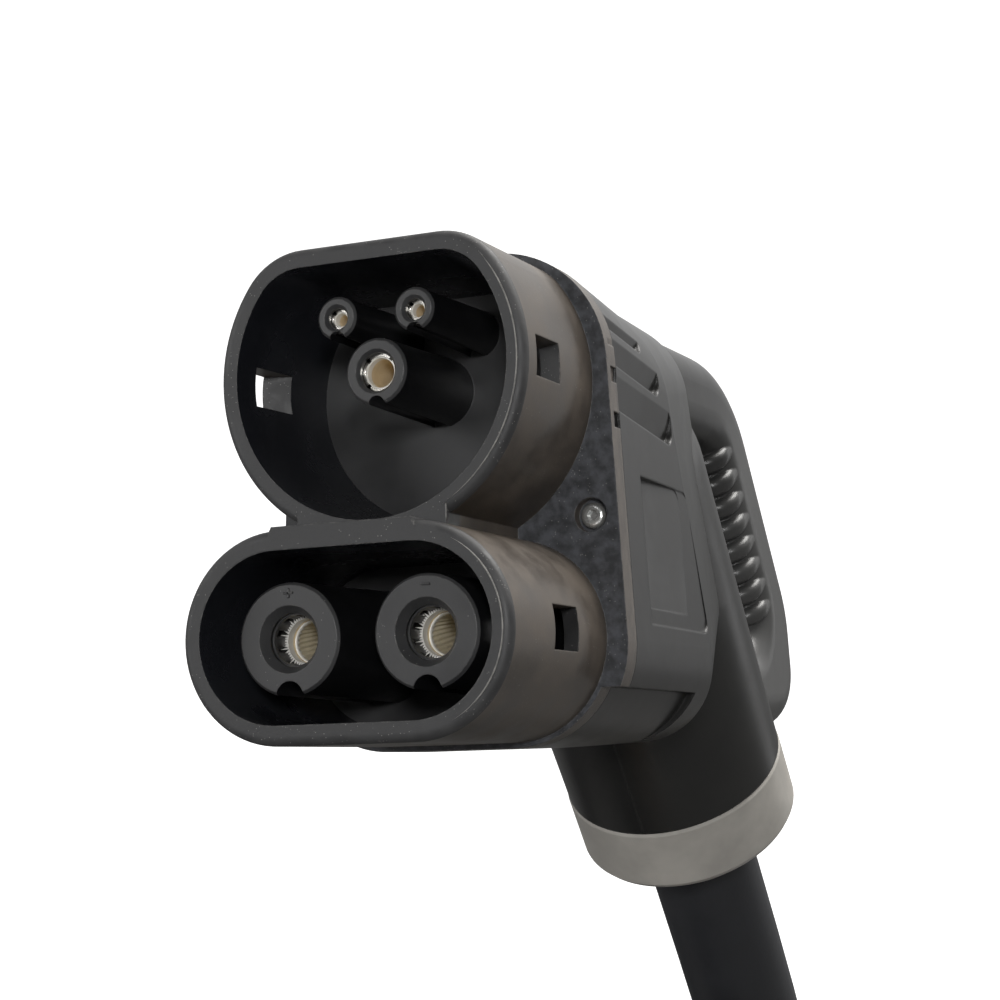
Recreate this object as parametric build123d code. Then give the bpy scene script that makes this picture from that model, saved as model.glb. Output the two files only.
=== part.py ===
"""Combined charging system (Combo 2) vehicle connector with its cable, modelled in millimetres.

Frame: the origin lies on the earth contact's axis, in the front plane of the upper shroud.
+Y runs from that plane into the plug, +X is right seen from the front, +Z is up.
The neck runs down and back from the head; s is the distance along it from the gland nut's upper rim.
"""
from build123d import *
from math import atan2, cos, degrees, pi, radians, sin, sqrt, tan
import os

os.makedirs("parts", exist_ok=True)

# ------------------------------------------------------------------ driving dimensions
fit = 0.3                  # clearance between pieces that slide together
seat = 0.15                # clearance between pieces that seat in each other

# upper shroud: a round tube with a flat top
shroud_radius = 31.5
shroud_flat = 24.2
shroud_corner = 14.0
shroud_wall = 3.7
rim_round = 1.7

# lower shroud: a stadium tube that stands further forward
stadium_half_width = 32.8
stadium_radius = 19.25
stadium_z = -49.1
stadium_front = -11.9

# flange, and the seat behind it that takes the contact carriers
flange_front = 31.3
flange_thick = 4.5
carrier_front = 30.8
carrier_thick = 5.0
pocket_draft = 3.9         # draft of the upper shroud's inner wall
carrier_ledge = 1.4
retainer_thick = 3.0

# side windows for the inlet's locking bolt: centre height, height, front, back
upper_window = (0.2, 7.5, 5.1, 15.6)
lower_window = (-48.5, 8.1, 6.9, 17.7)
window_lean = (0.25, 0.5)  # how far their front and back faces lean backwards, per mm going in

# bridge between the shrouds: a block flush with the upper rim, on a low pad flush with the lower rim
bridge_half_width = 15.2
bridge_top = -24.0
pad_half_width = 13.9
pad_top = -29.3
pad_foot = -31.6

# contact places and sizes
earth_sleeve_radius = 6.26
earth_bore = 3.05
sleeve_draft = 1.2
signal_x = 8.03
signal_z = 10.85
signal_sleeve_radius = 4.07
signal_bore = 1.55
ac_tip = 3.1
dc_x = 13.8
dc_sleeve_radius = 10.3
dc_bore = 4.1
dc_tip = -6.2
sleeve_wall = 1.25         # plastic left round a small contact
dc_contact_radius = 6.1
dc_recess = 6.8            # from the sleeve's mouth to the contact's own rim
cage_wall = 0.5
cage_length = 13.0
earth_barrel = 56.0        # where each crimp barrel ends
signal_barrel = 50.0
dc_barrel = 62.0
sensor_setback = 6.0       # from the barrel's end to the bead strapped on it
earth_core = 7.2
dc_core = 9.6
signal_core = 2.6

# head of the housing: at three planes its outline is the hull of an upper and a lower pair of
# circles, each as (distance from the middle plane, height on the plane, radius)
head_circles = ((11.0, 3.0, 23.5), (17.6, -50.3, 19.4))
ridge_circles = ((8.0, -13.4, 24.6), (16.6, -66.9, 18.4))
back_circles = ((6.6, -16.5, 17.0), (10.5, -62.0, 14.0))
head_draft = 2.4           # draft of the cheeks that those circles give
chin_radius = 20.2
chin_step_z = -58.5
wall = 3.0
ridge_y = 66.0             # where the ridge behind the cheeks crosses z = ridge_z
ridge_z = 14.0
ridge_lean = 16.0
back_length = 40.0
back_round = 8.0

# cheek relief: stepped flutes that start at the flange, and the recessed panel below them
flute_lines = (10.4, 3.2, -5.6)      # height of each flute's lower edge at the flange
flute_ends = (57.0, 64.0, 70.0)      # where each flute ends
flute_fall = 4.5                     # degrees that the flutes fall going back
flute_height = 7.6
flute_depth = 1.5
panel_top = -17.5
panel_low = -43.0
panel_front = 46.0
panel_back = 74.0
panel_depth = 2.0          # at its front edge; the floor rises going back
panel_rise = 3.4           # degrees that the panel's floor rises from the cheek's own draft
frame_border = 6.5         # shallow border behind the panel, and half of it below
frame_depth = 0.5
chin_step_back = 78.0

# neck and gland
neck_angle = 50.7
rim_y = 153.5
rim_z = -72.2
neck_radius = 26.2
neck_swell = 1.1           # how much wider the neck is at its top
neck_dome = -80.0          # centre of the dome that closes the neck inside the head
spigot_wall = 3.2
spigot_length = 13.0
nut_radius = 26.4
nut_wall = 4.1             # from the spigot out to the nut's outside
nut_straight = 15.5
nut_length = 23.5
nut_mouth = 17.4
cable_diameter = 26.5
sheath_end = -26.0
clamp_s = -21.0            # where the saddle that grips the sheath starts
clamp_length = 12.0
clamp_screw_x = 17.4
clamp_screw_up = 9.0
clamp_screw_length = 18.0

# handle
grip_half_width = 15.0
grip_depth = 23.0
grip_round = 9.0
grip_corner = 40.0         # round of the handle's top rear corner
rib_count = 8
rib_first = 2.9            # the first rib's drop below the handle's under side
rib_pitch = 6.4
rib_width = 4.7
rib_height = 2.6
rib_round = 1.9
grip_top = 26.2
grip_under = 3.2
grip_start = (168.0, 26.2)   # sharp corners of the handle's outer line, as (Y, Z)
grip_bend = (210.0, -31.0)
grip_heel = (214.8, -63.0)
root_depth = 19.5          # depth of the handle where it runs forward to the neck
grip_root_y = 90.0         # how far forward the handle runs into the head and the neck
heel_end_y = 164.0

# fasteners
screw_radius = 1.5
screw_head = 2.8
boss_radius = 4.2
housing_screw_length = 18.0
flange_screw_length = 9.0
screw_seat_x = 10.0        # depth of the screw heads' seats from the middle plane
housing_screws_at = ((60.0, 19.5), (100.0, 15.5), (62.0, -24.0), (80.0, -60.5), (184.5, -17.0))

beyond = 200.0             # wider than the head, for cutting shapes

# free cable, laid on the surface below in a coil of turns one diameter apart
coil_radius = 148.5
coil_centre = (-168.8, 223.0)
floor_z = -268.4
touch_angle = 74.0         # where the free cable touches the coil's top turn
first_bend = 80.0          # where the free cable leaves the neck's axis
tail_run = 122.0           # straight tail after the last turn

cable_radius = cable_diameter / 2
spigot_radius = nut_radius - nut_wall
flange_back = flange_front + flange_thick
carrier_back = carrier_front + carrier_thick
retainer_back = carrier_back + retainer_thick


# ------------------------------------------------------------------ small helpers
def slab(outline, y_front, y_back, taper=0.0):
    """Pull an outline, drawn in X and Z, from one distance behind the front to another."""
    face = Plane.XZ.offset(-y_front) * outline
    return extrude(face, amount=y_back - y_front, dir=(0, 1, 0), taper=taper)


def turned(points, x, z):
    """Turn a closed outline of (radius, y) points about an axis that runs along Y."""
    outline = make_face(Polyline(*[(r, y) for r, y in points], close=True))
    return Pos(x, 0, z) * revolve(outline, Axis.Y)


def rod(radius, y_front, y_back, x=0.0, z=0.0):
    return slab(Pos(x, z) * Circle(radius), y_front, y_back)


neck = Plane(
    origin=(0, rim_y, rim_z),
    x_dir=(1, 0, 0),
    z_dir=(0, cos(radians(neck_angle)), -sin(radians(neck_angle))),
)
neck_up = -neck.y_dir


def neck_turned(points):
    """Turn (radius, s) points about the neck's axis."""
    outline = make_face(Polyline(*[(r, 0, s) for r, s in points], close=True))
    return neck * revolve(outline, Axis.Z)


def neck_point(s, x=0.0, up=0.0):
    """A point beside the neck's axis, up being away from the floor."""
    return neck.from_local_coords(Vector(x, -up, s))


def save(shape, name):
    solids = shape.solids() if hasattr(shape, "solids") else shape
    if len(solids) > 1:
        shape = Compound(children=list(solids))
    else:
        shape = solids[0]
    shape.label = name
    export_step(shape, f"parts/{name}.step")
    return shape


# ------------------------------------------------------------------ outlines, drawn in X and Z
def shroud_outline(inset=0.0):
    """A circle cut flat at the top, with rounded corners."""
    radius = shroud_radius - inset
    keep = Pos(0, -shroud_radius) * Rectangle(4 * radius, 2 * (shroud_flat - inset + shroud_radius))
    outline = Circle(radius) & keep
    corners = outline.vertices().group_by(Axis.Y)[-1]
    return fillet(corners, shroud_corner - inset)


def stadium_outline(radius):
    """A slot shape whose ends are centred on the DC contacts."""
    half = stadium_half_width - stadium_radius
    return Pos(0, stadium_z) * SlotCenterToCenter(2 * half, 2 * radius)


def head_outline(inset=0.0):
    """The housing's front outline, inset by a wall."""
    edges = []
    for x, z, radius in head_circles:
        for side in (-1, 1):
            edges += (Pos(side * x, z) * Circle(radius - inset)).edges()
    return make_hull(edges)


def stepped_outline(inset=0.0):
    """The head's outline with the step under each cheek, where it drops to the chin."""
    cheeks = Pos(0, chin_step_z + inset + beyond / 2) * Rectangle(beyond, beyond)
    return (head_outline(inset) & cheeks) + (head_outline(inset) & stadium_outline(chin_radius - inset))


# ------------------------------------------------------------------ front moulding
def side_window(outer, centre, height, front, back):
    """Cuts through both side walls, whose front and back faces lean backwards going in."""
    reach = 2.5 * shroud_wall
    front_shift, back_shift = (lean * reach for lean in window_lean)
    cuts = []
    for side in (-1, 1):
        outside, inside = side * (outer + reach), side * (outer - reach)
        corners = [(outside, front - front_shift), (outside, back - back_shift),
                   (inside, back + back_shift), (inside, front + front_shift)]
        plan = Plane.XY.offset(centre - height / 2) * make_face(Polyline(*corners, close=True))
        cuts.append(extrude(plan, amount=height, dir=(0, 0, 1)))
    return cuts


def bridge():
    """The block between the shrouds and the pad under it."""
    height = bridge_top - pad_foot
    block = slab(Pos(0, pad_foot + height / 2) * Rectangle(2 * bridge_half_width, height), 0, flange_front)
    foot = pad_half_width + (pad_top - pad_foot) / 2
    pad = Polyline((-foot, pad_foot), (foot, pad_foot), (pad_half_width, pad_top),
                   (-pad_half_width, pad_top), close=True)
    return block + slab(make_face(pad), stadium_front, flange_front)


def front_shroud():
    upper = slab(shroud_outline(), 0, flange_back)
    upper = fillet(upper.faces().sort_by(Axis.Y)[0].edges(), rim_round)
    lower = slab(stadium_outline(stadium_radius), stadium_front, flange_back)
    lower = fillet(lower.faces().sort_by(Axis.Y)[0].edges(), rim_round)
    flange = slab(stepped_outline(), flange_front, flange_back)
    body = upper + lower + flange + bridge()

    upper_pocket = slab(shroud_outline(shroud_wall), 0, carrier_front, taper=pocket_draft)
    upper_pocket += slab(shroud_outline(shroud_wall), -1, 0)
    upper_pocket += slab(shroud_outline(shroud_wall - carrier_ledge), carrier_front, flange_back + 1)
    lower_inner = stadium_radius - shroud_wall
    lower_pocket = slab(stadium_outline(lower_inner), stadium_front - 1, carrier_front)
    lower_pocket += slab(stadium_outline(lower_inner + carrier_ledge), carrier_front, flange_back + 1)
    body -= upper_pocket + lower_pocket
    for outer, window in ((shroud_radius, upper_window), (stadium_half_width, lower_window)):
        for cut in side_window(outer, *window):
            body -= cut
    for x, z in flange_screw_places():
        body -= rod(3.3, flange_front - 1, flange_front + 2.4, x, z)
        body -= rod(1.7, flange_front, flange_back + 1, x, z)
    for side in (-1, 1):
        for line in flute_lines:
            body -= flange_notch(side, line - 2.4)
    return body


def flange_screw_places():
    return [(side * 30.3, -26.1) for side in (-1, 1)]


def flange_notch(side, z):
    """A small notch in the flange's edge, under the end of each flute."""
    return Pos(side * 36.2, flange_back - 1.4, z) * Box(4.4, 2.9, 3.0)


# ------------------------------------------------------------------ contact carriers
def sleeve(radius, tip, x, z, notch):
    """A finger-proof sleeve with a drain notch along its underside."""
    foot = carrier_front + 1
    base = radius + (foot - tip) * tan(radians(sleeve_draft))
    tube = turned([(0, tip), (radius - 0.5, tip), (radius, tip + 0.5), (base, foot), (0, foot)], x, z)
    return tube - rod(notch, tip - 1, carrier_front, x, z - radius)


def ac_carrier():
    plate = slab(shroud_outline(shroud_wall - carrier_ledge + seat), carrier_front, carrier_back)
    body = plate
    holes = []
    body += sleeve(earth_sleeve_radius, ac_tip, 0, 0, 1.7)
    holes.append((0, 0, earth_bore + sleeve_wall, earth_bore + 0.55))
    for side in (-1, 1):
        x = side * signal_x
        body += sleeve(signal_sleeve_radius, ac_tip, x, signal_z, 1.6)
        holes.append((x, signal_z, signal_bore + sleeve_wall, signal_bore + 0.45))
    for x, z, shank, mouth in holes:
        body -= rod(shank + seat, ac_tip + 1.6, carrier_back + 1, x, z)
        funnel = [(0, ac_tip - 1), (mouth + 1.5, ac_tip - 1), (mouth, ac_tip + 0.7),
                  (mouth, ac_tip + 2), (0, ac_tip + 2)]
        body -= turned(funnel, x, z)
    return body


def dc_carrier():
    inner = stadium_radius - shroud_wall + carrier_ledge
    body = slab(stadium_outline(inner - seat), carrier_front, carrier_back)
    for side in (-1, 1):
        x = side * dc_x
        body += sleeve(dc_sleeve_radius, dc_tip, x, stadium_z, 2.8)
        body -= rod(dc_contact_radius + seat, dc_tip + 2.6, carrier_back + 1, x, stadium_z)
        funnel = [
            (0, dc_tip - 1), (6.8, dc_tip - 1), (4.9, dc_tip + 1.9), (4.9, dc_tip + 3), (0, dc_tip + 3),
        ]
        body -= turned(funnel, x, stadium_z)
    return body


def touch_guards():
    """A ring of fingers in each DC sleeve, ahead of the contact's rim."""
    front = dc_tip + 2.6 + seat
    back = dc_tip + dc_recess - seat
    rings = []
    for side in (-1, 1):
        ring = rod(dc_contact_radius, front, back, side * dc_x, stadium_z)
        ring -= rod(dc_bore + 0.5, front - 1, back + 1, side * dc_x, stadium_z)
        slot = Pos(0, (front + 1.0 + back) / 2 + 0.5, 0) * Box(30, back - front, 1.3)
        for turn in range(5):
            ring -= Pos(side * dc_x, 0, stadium_z) * Rot(0, 36 * turn + 18, 0) * slot
        rings.append(ring)
    return Compound(children=rings)


# ------------------------------------------------------------------ contacts
def socket(bore, shank, tip, depth, x, z, core, barrel_back, slots, slot_width):
    """A turned socket contact: slotted front, collar behind the carrier, crimp barrel at the back."""
    collar_back = retainer_back - seat
    barrel = core / 2 + 1.3
    collar = shank + 1.2
    outline = [
        (bore, tip), (shank - 0.3, tip), (shank, tip + 0.5), (shank, carrier_back + seat),
        (collar, carrier_back + seat), (collar, collar_back), (barrel, collar_back),
        (barrel, barrel_back), (core / 2, barrel_back), (core / 2, collar_back + 6),
        (0, collar_back + 6), (0, tip + depth), (bore, tip + depth),
    ]
    body = turned(outline, x, z)
    slot = Pos(0, tip + depth * 0.35, 0) * Box(4 * shank, depth * 0.7, slot_width)
    for turn in range(slots):
        body -= Pos(x, 0, z) * Rot(0, 180 * turn / slots + 45, 0) * slot
    return body


earth_tip = ac_tip + 1.8
signal_tip = ac_tip + 1.8
dc_contact_tip = dc_tip + dc_recess


def earth_contact():
    return socket(earth_bore, earth_bore + sleeve_wall, earth_tip, 24, 0, 0,
                  earth_core, earth_barrel, 2, 0.7)


def signal_contact(side):
    return socket(signal_bore, signal_bore + sleeve_wall, signal_tip, 20, side * signal_x, signal_z,
                  signal_core, signal_barrel, 1, 0.6)


def dc_contact(side):
    """The power socket has a groove inside for its lamella cage."""
    x = side * dc_x
    body = socket(dc_bore, dc_contact_radius, dc_contact_tip, 30, x, stadium_z,
                  dc_core, dc_barrel, 0, 1.0)
    return body - rod(dc_bore + cage_wall + seat, dc_contact_tip + 2.5,
                      dc_contact_tip + 2.5 + cage_length + 2 * seat, x, stadium_z)


def lamella_cages():
    """A slit band of spring strips in each DC socket."""
    front = dc_contact_tip + 2.5 + seat
    cages = []
    for side in (-1, 1):
        cage = rod(dc_bore + cage_wall, front, front + cage_length, side * dc_x, stadium_z)
        cage -= rod(dc_bore, front - 1, front + cage_length + 1, side * dc_x, stadium_z)
        slit = Pos(0, front + cage_length / 2, 0) * Box(30, cage_length - 3, 0.5)
        for turn in range(6):
            cage -= Pos(side * dc_x, 0, stadium_z) * Rot(0, 30 * turn, 0) * slit
        cages.append(cage)
    return Compound(children=cages)


def ac_retainer():
    """The plate that locks the upper carrier and its contacts' collars from behind."""
    plate = slab(shroud_outline(shroud_wall - carrier_ledge + fit), carrier_back, retainer_back)
    plate -= rod(earth_bore + sleeve_wall + 1.2 + seat, carrier_back - 1, retainer_back + 1, 0, 0)
    for side in (-1, 1):
        plate -= rod(signal_bore + sleeve_wall + 1.2 + seat, carrier_back - 1, retainer_back + 1,
                     side * signal_x, signal_z)
    return plate


def dc_retainer():
    """The plate that locks the lower carrier and the power contacts' collars from behind."""
    radius = stadium_radius - shroud_wall + carrier_ledge - fit
    plate = slab(stadium_outline(radius), carrier_back, retainer_back)
    for side in (-1, 1):
        plate -= rod(dc_contact_radius + 1.2 + seat, carrier_back - 1, retainer_back + 1, side * dc_x,
                     stadium_z)
    return plate


# ------------------------------------------------------------------ housing
ridge = Plane(
    origin=(0, ridge_y, ridge_z),
    x_dir=(-1, 0, 0),
    z_dir=(0, cos(radians(ridge_lean)), sin(radians(ridge_lean))),
)
grip_angle = atan2(grip_start[1] - grip_bend[1], grip_bend[0] - grip_start[0])
grip_inward = (-sin(grip_angle), -cos(grip_angle))      # (Y, Z), towards the fingers


def head_section(plane, circles, inset):
    """The hull of an upper and a lower pair of circles, as (x, height, radius), on a plane."""
    edges = []
    for x, height, radius in circles:
        for side in (-1, 1):
            edges += (Pos(side * x, height) * Circle(radius - inset)).edges()
    return plane * make_hull(edges)


def head_form(inset=0.0):
    """Cheeks from the flange to the leaning ridge, then a faster taper with a rounded end."""
    front = Plane(origin=(0, flange_back, 0), x_dir=(-1, 0, 0), z_dir=(0, 1, 0))
    sections = [
        head_section(front, head_circles, inset),
        head_section(ridge, ridge_circles, inset),
        head_section(ridge.offset(back_length - inset), back_circles, inset),
    ]
    form = loft(sections, ruled=True)
    rear = form.faces().sort_by(Axis.Y)[-1]
    return fillet(rear.edges(), back_round - inset)


def neck_form(inset=0.0):
    """A slightly tapered tube with a domed end inside the head; the hollow stops short of the rim."""
    radius = neck_radius - inset
    top_radius = radius + neck_swell
    dome = neck * Pos(0, 0, neck_dome) * Sphere(top_radius)
    return dome + neck_turned([(0, neck_dome), (top_radius, neck_dome), (radius, -inset), (0, -inset)])


def handle_form():
    """The hoop of the handle: one band with round edges, from the head's top to the neck."""
    inner_start = grip_line(grip_under)
    inner_end = grip_line(grip_heel[1] + root_depth)
    points = [
        (grip_root_y, grip_top), grip_start, grip_bend, grip_heel, (heel_end_y, grip_heel[1] - 3),
        (heel_end_y - 6, grip_heel[1] + root_depth), inner_end, inner_start, (grip_root_y, grip_under),
    ]
    band = make_face(Polyline(*points, close=True))
    rounds = {grip_start: grip_corner, grip_bend: 30.0, grip_heel: 15.0, inner_start: 9.0, inner_end: 7.0}
    for place, radius in rounds.items():
        corner = band.vertices().sort_by_distance((place[0], place[1], 0))[0]
        band = fillet(corner, radius)
    solid = extrude(Plane.YZ * band, amount=grip_half_width, both=True)
    long_edges = [
        edge for edge in solid.edges()
        if abs(abs(edge.center().X) - grip_half_width) < 0.01
        and abs(edge.tangent_at(0.5).X) < 0.01
        and not is_hidden_end(edge)
    ]
    return fillet(long_edges, grip_round)


def is_hidden_end(edge):
    """True for the band's end edges, which lie inside the head and inside the neck."""
    middle = edge.center()
    local = neck.to_local_coords(middle)
    return middle.Y < 90.5 or (abs(middle.Y - 161) < 3.5 and abs(local.Y) < neck_radius)


def grip_line(z):
    """Where the grip's inner line crosses a height."""
    y = grip_start[0] + grip_depth * grip_inward[0]
    z_start = grip_start[1] + grip_depth * grip_inward[1]
    return (y + (z_start - z) / tan(grip_angle), z)


def finger_ribs():
    """Rounded ribs across the finger side of the grip, that end on its side faces."""
    along = Vector(0, cos(grip_angle), -sin(grip_angle))
    outward = Vector(0, -grip_inward[0], -grip_inward[1])
    depth = grip_depth - 4.0
    ribs = []
    for index in range(rib_count):
        inner = grip_line(grip_under - rib_first - index * rib_pitch * sin(grip_angle))
        middle = Vector(0, *inner) + outward * (depth / 2 - rib_height)
        plane = Plane(origin=middle, x_dir=(1, 0, 0), z_dir=along)
        outline = RectangleRounded(2 * grip_half_width - 0.5, depth, grip_round - 2.5)
        rib = extrude(plane * outline, amount=rib_width / 2, both=True)
        ends = rib.faces().sort_by(Axis(middle, along))
        ribs.append(fillet(ends[0].edges() + ends[-1].edges(), rib_round))
    return ribs


def side_plane(side, x, y, z, tilt, rise=0.0):
    """A plane on a cheek: local x runs back, local y up, tilted outwards, and it follows the draft."""
    draft = radians(head_draft - rise)
    lean = radians(tilt)
    return Plane(
        origin=(side * x, y, z),
        x_dir=(-side * sin(draft), cos(draft), 0),
        z_dir=(side * cos(draft) * cos(lean), sin(draft) * cos(lean), -sin(lean)),
    )


def cheek_x(z):
    """Half width of the head's front outline at a height."""
    (top_x, top_z, top_radius), (low_x, low_z, low_radius) = head_circles
    if z <= low_z:
        return low_x + sqrt(low_radius ** 2 - (low_z - z) ** 2)
    if z <= top_z:
        wide = top_x + top_radius
        return wide + (low_x + low_radius - wide) * (top_z - z) / (top_z - low_z)
    return top_x + sqrt(top_radius ** 2 - (z - top_z) ** 2)


def cheek_relief(side):
    """Cutters for the stepped flutes, the recessed panel and the step above the chin."""
    cutters = []
    tilt = degrees(atan2(flute_depth, flute_height))
    for line, end in zip(flute_lines, flute_ends):
        plane = side_plane(side, cheek_x(line) - flute_depth, flange_back - 1, line, tilt)
        length = end - flange_back + 1
        outline = Pos(length / 2, side * flute_height / 2) * Rectangle(length, flute_height)
        rear = outline.vertices().group_by(Axis.X)[-1]
        outline = Rot(0, 0, -side * flute_fall) * fillet(rear, 3.0)
        cutters.append(extrude(plane * outline, amount=8))
    low = panel_low - frame_border / 2
    cutters.append(panel_cutter(side, panel_low, panel_back, panel_depth, panel_rise))
    cutters.append(panel_cutter(side, low, panel_back + frame_border, frame_depth, 0.0))
    return cutters


def panel_cutter(side, low, back, depth, rise):
    """A recess below the flutes with a slanted rear edge that runs beside the ridge."""
    middle = (panel_top + low) / 2
    tilt = degrees(atan2(cheek_x(panel_top) - cheek_x(low), panel_top - low))
    setback = (panel_front - flange_back) * tan(radians(head_draft))
    plane = side_plane(side, cheek_x(middle) - setback - depth, panel_front, middle, tilt, rise)
    half = (panel_top - low) / 2
    lean = half * tan(radians(ridge_lean))
    end = back - panel_front
    corners = [(0, -half), (end + lean, -half), (end - lean, half), (0, half)]
    outline = make_face(Polyline(*[(x, side * y) for x, y in corners], close=True))
    rear = outline.vertices().group_by(Axis.X)
    outline = fillet(rear[-1] + rear[-2], 3.0)
    return extrude(plane * outline, amount=8)


def boss_rod(radius, y, z, x_from, x_to):
    """A rod along X."""
    return extrude(Plane.YZ.offset(x_from) * Pos(y, z) * Circle(radius), amount=x_to - x_from)


def housing_shell():
    """Both halves in one: the outer form, hollow, with the spigot for the gland nut."""
    outer = head_form() + neck_form() + handle_form()
    outer -= neck_turned([(0, -seat), (nut_radius + 1.2, -seat), (nut_radius + 1.2, 60), (0, 60)])
    chin_cut = slab(head_outline(-3) - stepped_outline(), flange_back - 1, chin_step_back)
    outer -= chin_cut
    for rib in finger_ribs():
        outer += rib
    for side in (-1, 1):
        for cutter in cheek_relief(side):
            outer -= cutter
    outer += neck_turned([(0, -1), (spigot_radius, -1), (spigot_radius, spigot_length), (0, spigot_length)])
    hollow = head_form(wall) + neck_form(wall)
    hollow -= slab(head_outline(-3) - stepped_outline(wall), flange_back - 1, chin_step_back + wall)
    bore = spigot_radius - spigot_wall
    mouth = neck_turned([(0, -3), (bore, -3), (bore, spigot_length + 1), (0, spigot_length + 1)])
    shell = outer - hollow - mouth
    for y, z in housing_screws_at:
        boss = boss_rod(boss_radius, y, z, -40, 40) & outer
        shell += boss
    for x, z in flange_screw_places():
        shell += rod(4.0, flange_back, flange_back + 11, x, z) & outer
        shell -= rod(screw_radius, flange_back - 1, flange_back + 9, x, z)
    return shell


def housing_halves():
    shell = housing_shell()
    left = split(shell, bisect_by=Plane.YZ, keep=Keep.BOTTOM)
    right = split(shell, bisect_by=Plane.YZ, keep=Keep.TOP)
    for y, z in housing_screws_at:
        left -= boss_rod(screw_radius + seat, y, z, -45, 1)
        left -= boss_rod(screw_head + fit, y, z, -45, -screw_seat_x)
        right -= boss_rod(screw_radius, y, z, -1, 9)
    return left, right


# ------------------------------------------------------------------ gland and cable clamp
def gland_nut():
    """The plain grey nut that clamps the housing's spigot and squeezes the seal."""
    thread = spigot_radius + seat
    throat = cable_radius + fit
    return neck_turned([
        (nut_radius - 0.4, 0), (nut_radius, 0.8), (nut_radius, nut_straight),
        (nut_radius - 0.8, nut_straight + 1.2), (nut_mouth, nut_length), (throat, nut_length),
        (throat, spigot_length + 6), (thread - 3.5, spigot_length + 1), (thread, spigot_length + 1), (thread, 0),
    ])


def gland_seal():
    """The rubber sleeve between the cable and the spigot."""
    outer = spigot_radius - spigot_wall - seat
    return neck_turned([
        (cable_radius, -2), (outer, -2), (outer, spigot_length - 4), (outer - 1.5, spigot_length - 2),
        (cable_radius, spigot_length - 2),
    ])


def gland_claw():
    """The slit collar that the nut's cone closes on the cable."""
    outer = spigot_radius - spigot_wall - seat
    front = spigot_length - 2
    collar = neck_turned([
        (cable_radius + 0.1, front + 0.1), (outer, front + 0.1), (outer, spigot_length + 0.8),
        (cable_radius + 0.9, spigot_length + 5), (cable_radius + 0.1, spigot_length + 5),
    ])
    slit = Pos(0, 0, front + 7) * Box(60, 1.6, 10)
    for turn in range(4):
        collar -= neck * Rot(0, 0, 45 * turn) * slit
    return collar


def clamp_half(side):
    """Half of the saddle that holds the sheath inside the neck."""
    outer = neck_radius - wall - fit
    end = clamp_s + clamp_length
    ring = neck_turned([(cable_radius, clamp_s), (outer, clamp_s), (outer, end), (cable_radius, end)])
    waist = neck * Pos(0, 0, clamp_s + clamp_length / 2) * Box(2 * outer, 2.4, clamp_length + 1)
    ring -= waist
    half = split(ring, bisect_by=Plane(origin=neck.origin, z_dir=neck_up),
                 keep=Keep.TOP if side > 0 else Keep.BOTTOM)
    for across in (-1, 1):
        half -= clamp_rod(screw_radius + seat if side > 0 else screw_radius, across, -10, clamp_screw_up)
        half -= clamp_rod(screw_head, across, clamp_screw_up, neck_radius)
    return half


def clamp_rod(radius, across, start, end):
    """A rod square to the neck, through the clamp's lugs."""
    middle = neck_point(clamp_s + clamp_length / 2, x=across * clamp_screw_x)
    plane = Plane(origin=middle, x_dir=(1, 0, 0), z_dir=neck_up)
    return extrude(plane.offset(start) * Circle(radius), amount=end - start)


# ------------------------------------------------------------------ fasteners
def screw(plane, head_radius, head_height, shank_radius, length, drive):
    """A pan-head screw whose head sits on the plane and whose shank runs against its normal."""
    head = extrude(plane * Circle(head_radius), amount=head_height)
    head = fillet(head.edges().filter_by(GeomType.CIRCLE).sort_by(
        lambda edge: plane.to_local_coords(edge.center()).Z)[-1], head_height * 0.6)
    head -= extrude(plane.offset(head_height - drive) * RegularPolygon(drive * 1.2, 6), amount=drive + 1)
    return head + extrude(plane * Circle(shank_radius), amount=-length)


def flange_screws():
    floor_y = flange_front + 2.4
    pieces = []
    for x, z in flange_screw_places():
        plane = Plane(origin=(x, floor_y, z), x_dir=(1, 0, 0), z_dir=(0, -1, 0))
        pieces.append(screw(plane, 2.5, 1.7, 1.5, flange_screw_length, 0.9))
    return Compound(children=pieces)


def housing_screws():
    pieces = []
    for y, z in housing_screws_at:
        plane = Plane(origin=(-screw_seat_x, y, z), x_dir=(0, 1, 0), z_dir=(-1, 0, 0))
        pieces.append(screw(plane, screw_head, 2.0, screw_radius - 0.05, housing_screw_length, 1.1))
    return Compound(children=pieces)


def clamp_screws():
    pieces = []
    for across in (-1, 1):
        place = neck_point(clamp_s + clamp_length / 2, x=across * clamp_screw_x, up=clamp_screw_up)
        plane = Plane(origin=place, x_dir=(1, 0, 0), z_dir=neck_up)
        pieces.append(screw(plane, 2.4, 1.6, screw_radius - 0.05, clamp_screw_length, 0.9))
    return Compound(children=pieces)


# ------------------------------------------------------------------ conductors inside the plug
def core(points, radius, bend):
    """A round conductor along a filleted route."""
    path = FilletPolyline(*points, radius=bend)
    section = Plane(origin=path @ 0, z_dir=path % 0) * Circle(radius)
    return sweep(section, path=path)


def run_to_sheath(points, straight, x, up, size, bend):
    """A core that ends square on the sheath's face, after a straight stretch."""
    turn = neck_point(sheath_end - straight, x=x, up=up)
    end = neck_point(sheath_end - 0.1, x=x, up=up)
    return core(points + [turn, end], size / 2 - 0.1, bend)


def earth_lead():
    back = earth_barrel + 24
    points = [(0, retainer_back + 6, 0), (0, back, 0)]
    return run_to_sheath(points, 16, 0, 6.6, earth_core, 15)


def dc_lead(side):
    x = side * dc_x
    points = [(x, retainer_back + 6, stadium_z), (x, dc_barrel + 18, stadium_z)]
    return run_to_sheath(points, 12, side * 5.6, -3.4, dc_core, 20)


def signal_lead(side):
    x = side * signal_x
    points = [(x, retainer_back + 6, signal_z), (x, signal_barrel + 24, signal_z)]
    return run_to_sheath(points, 16, side * 9.2, 5.2, signal_core, 12)


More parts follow.
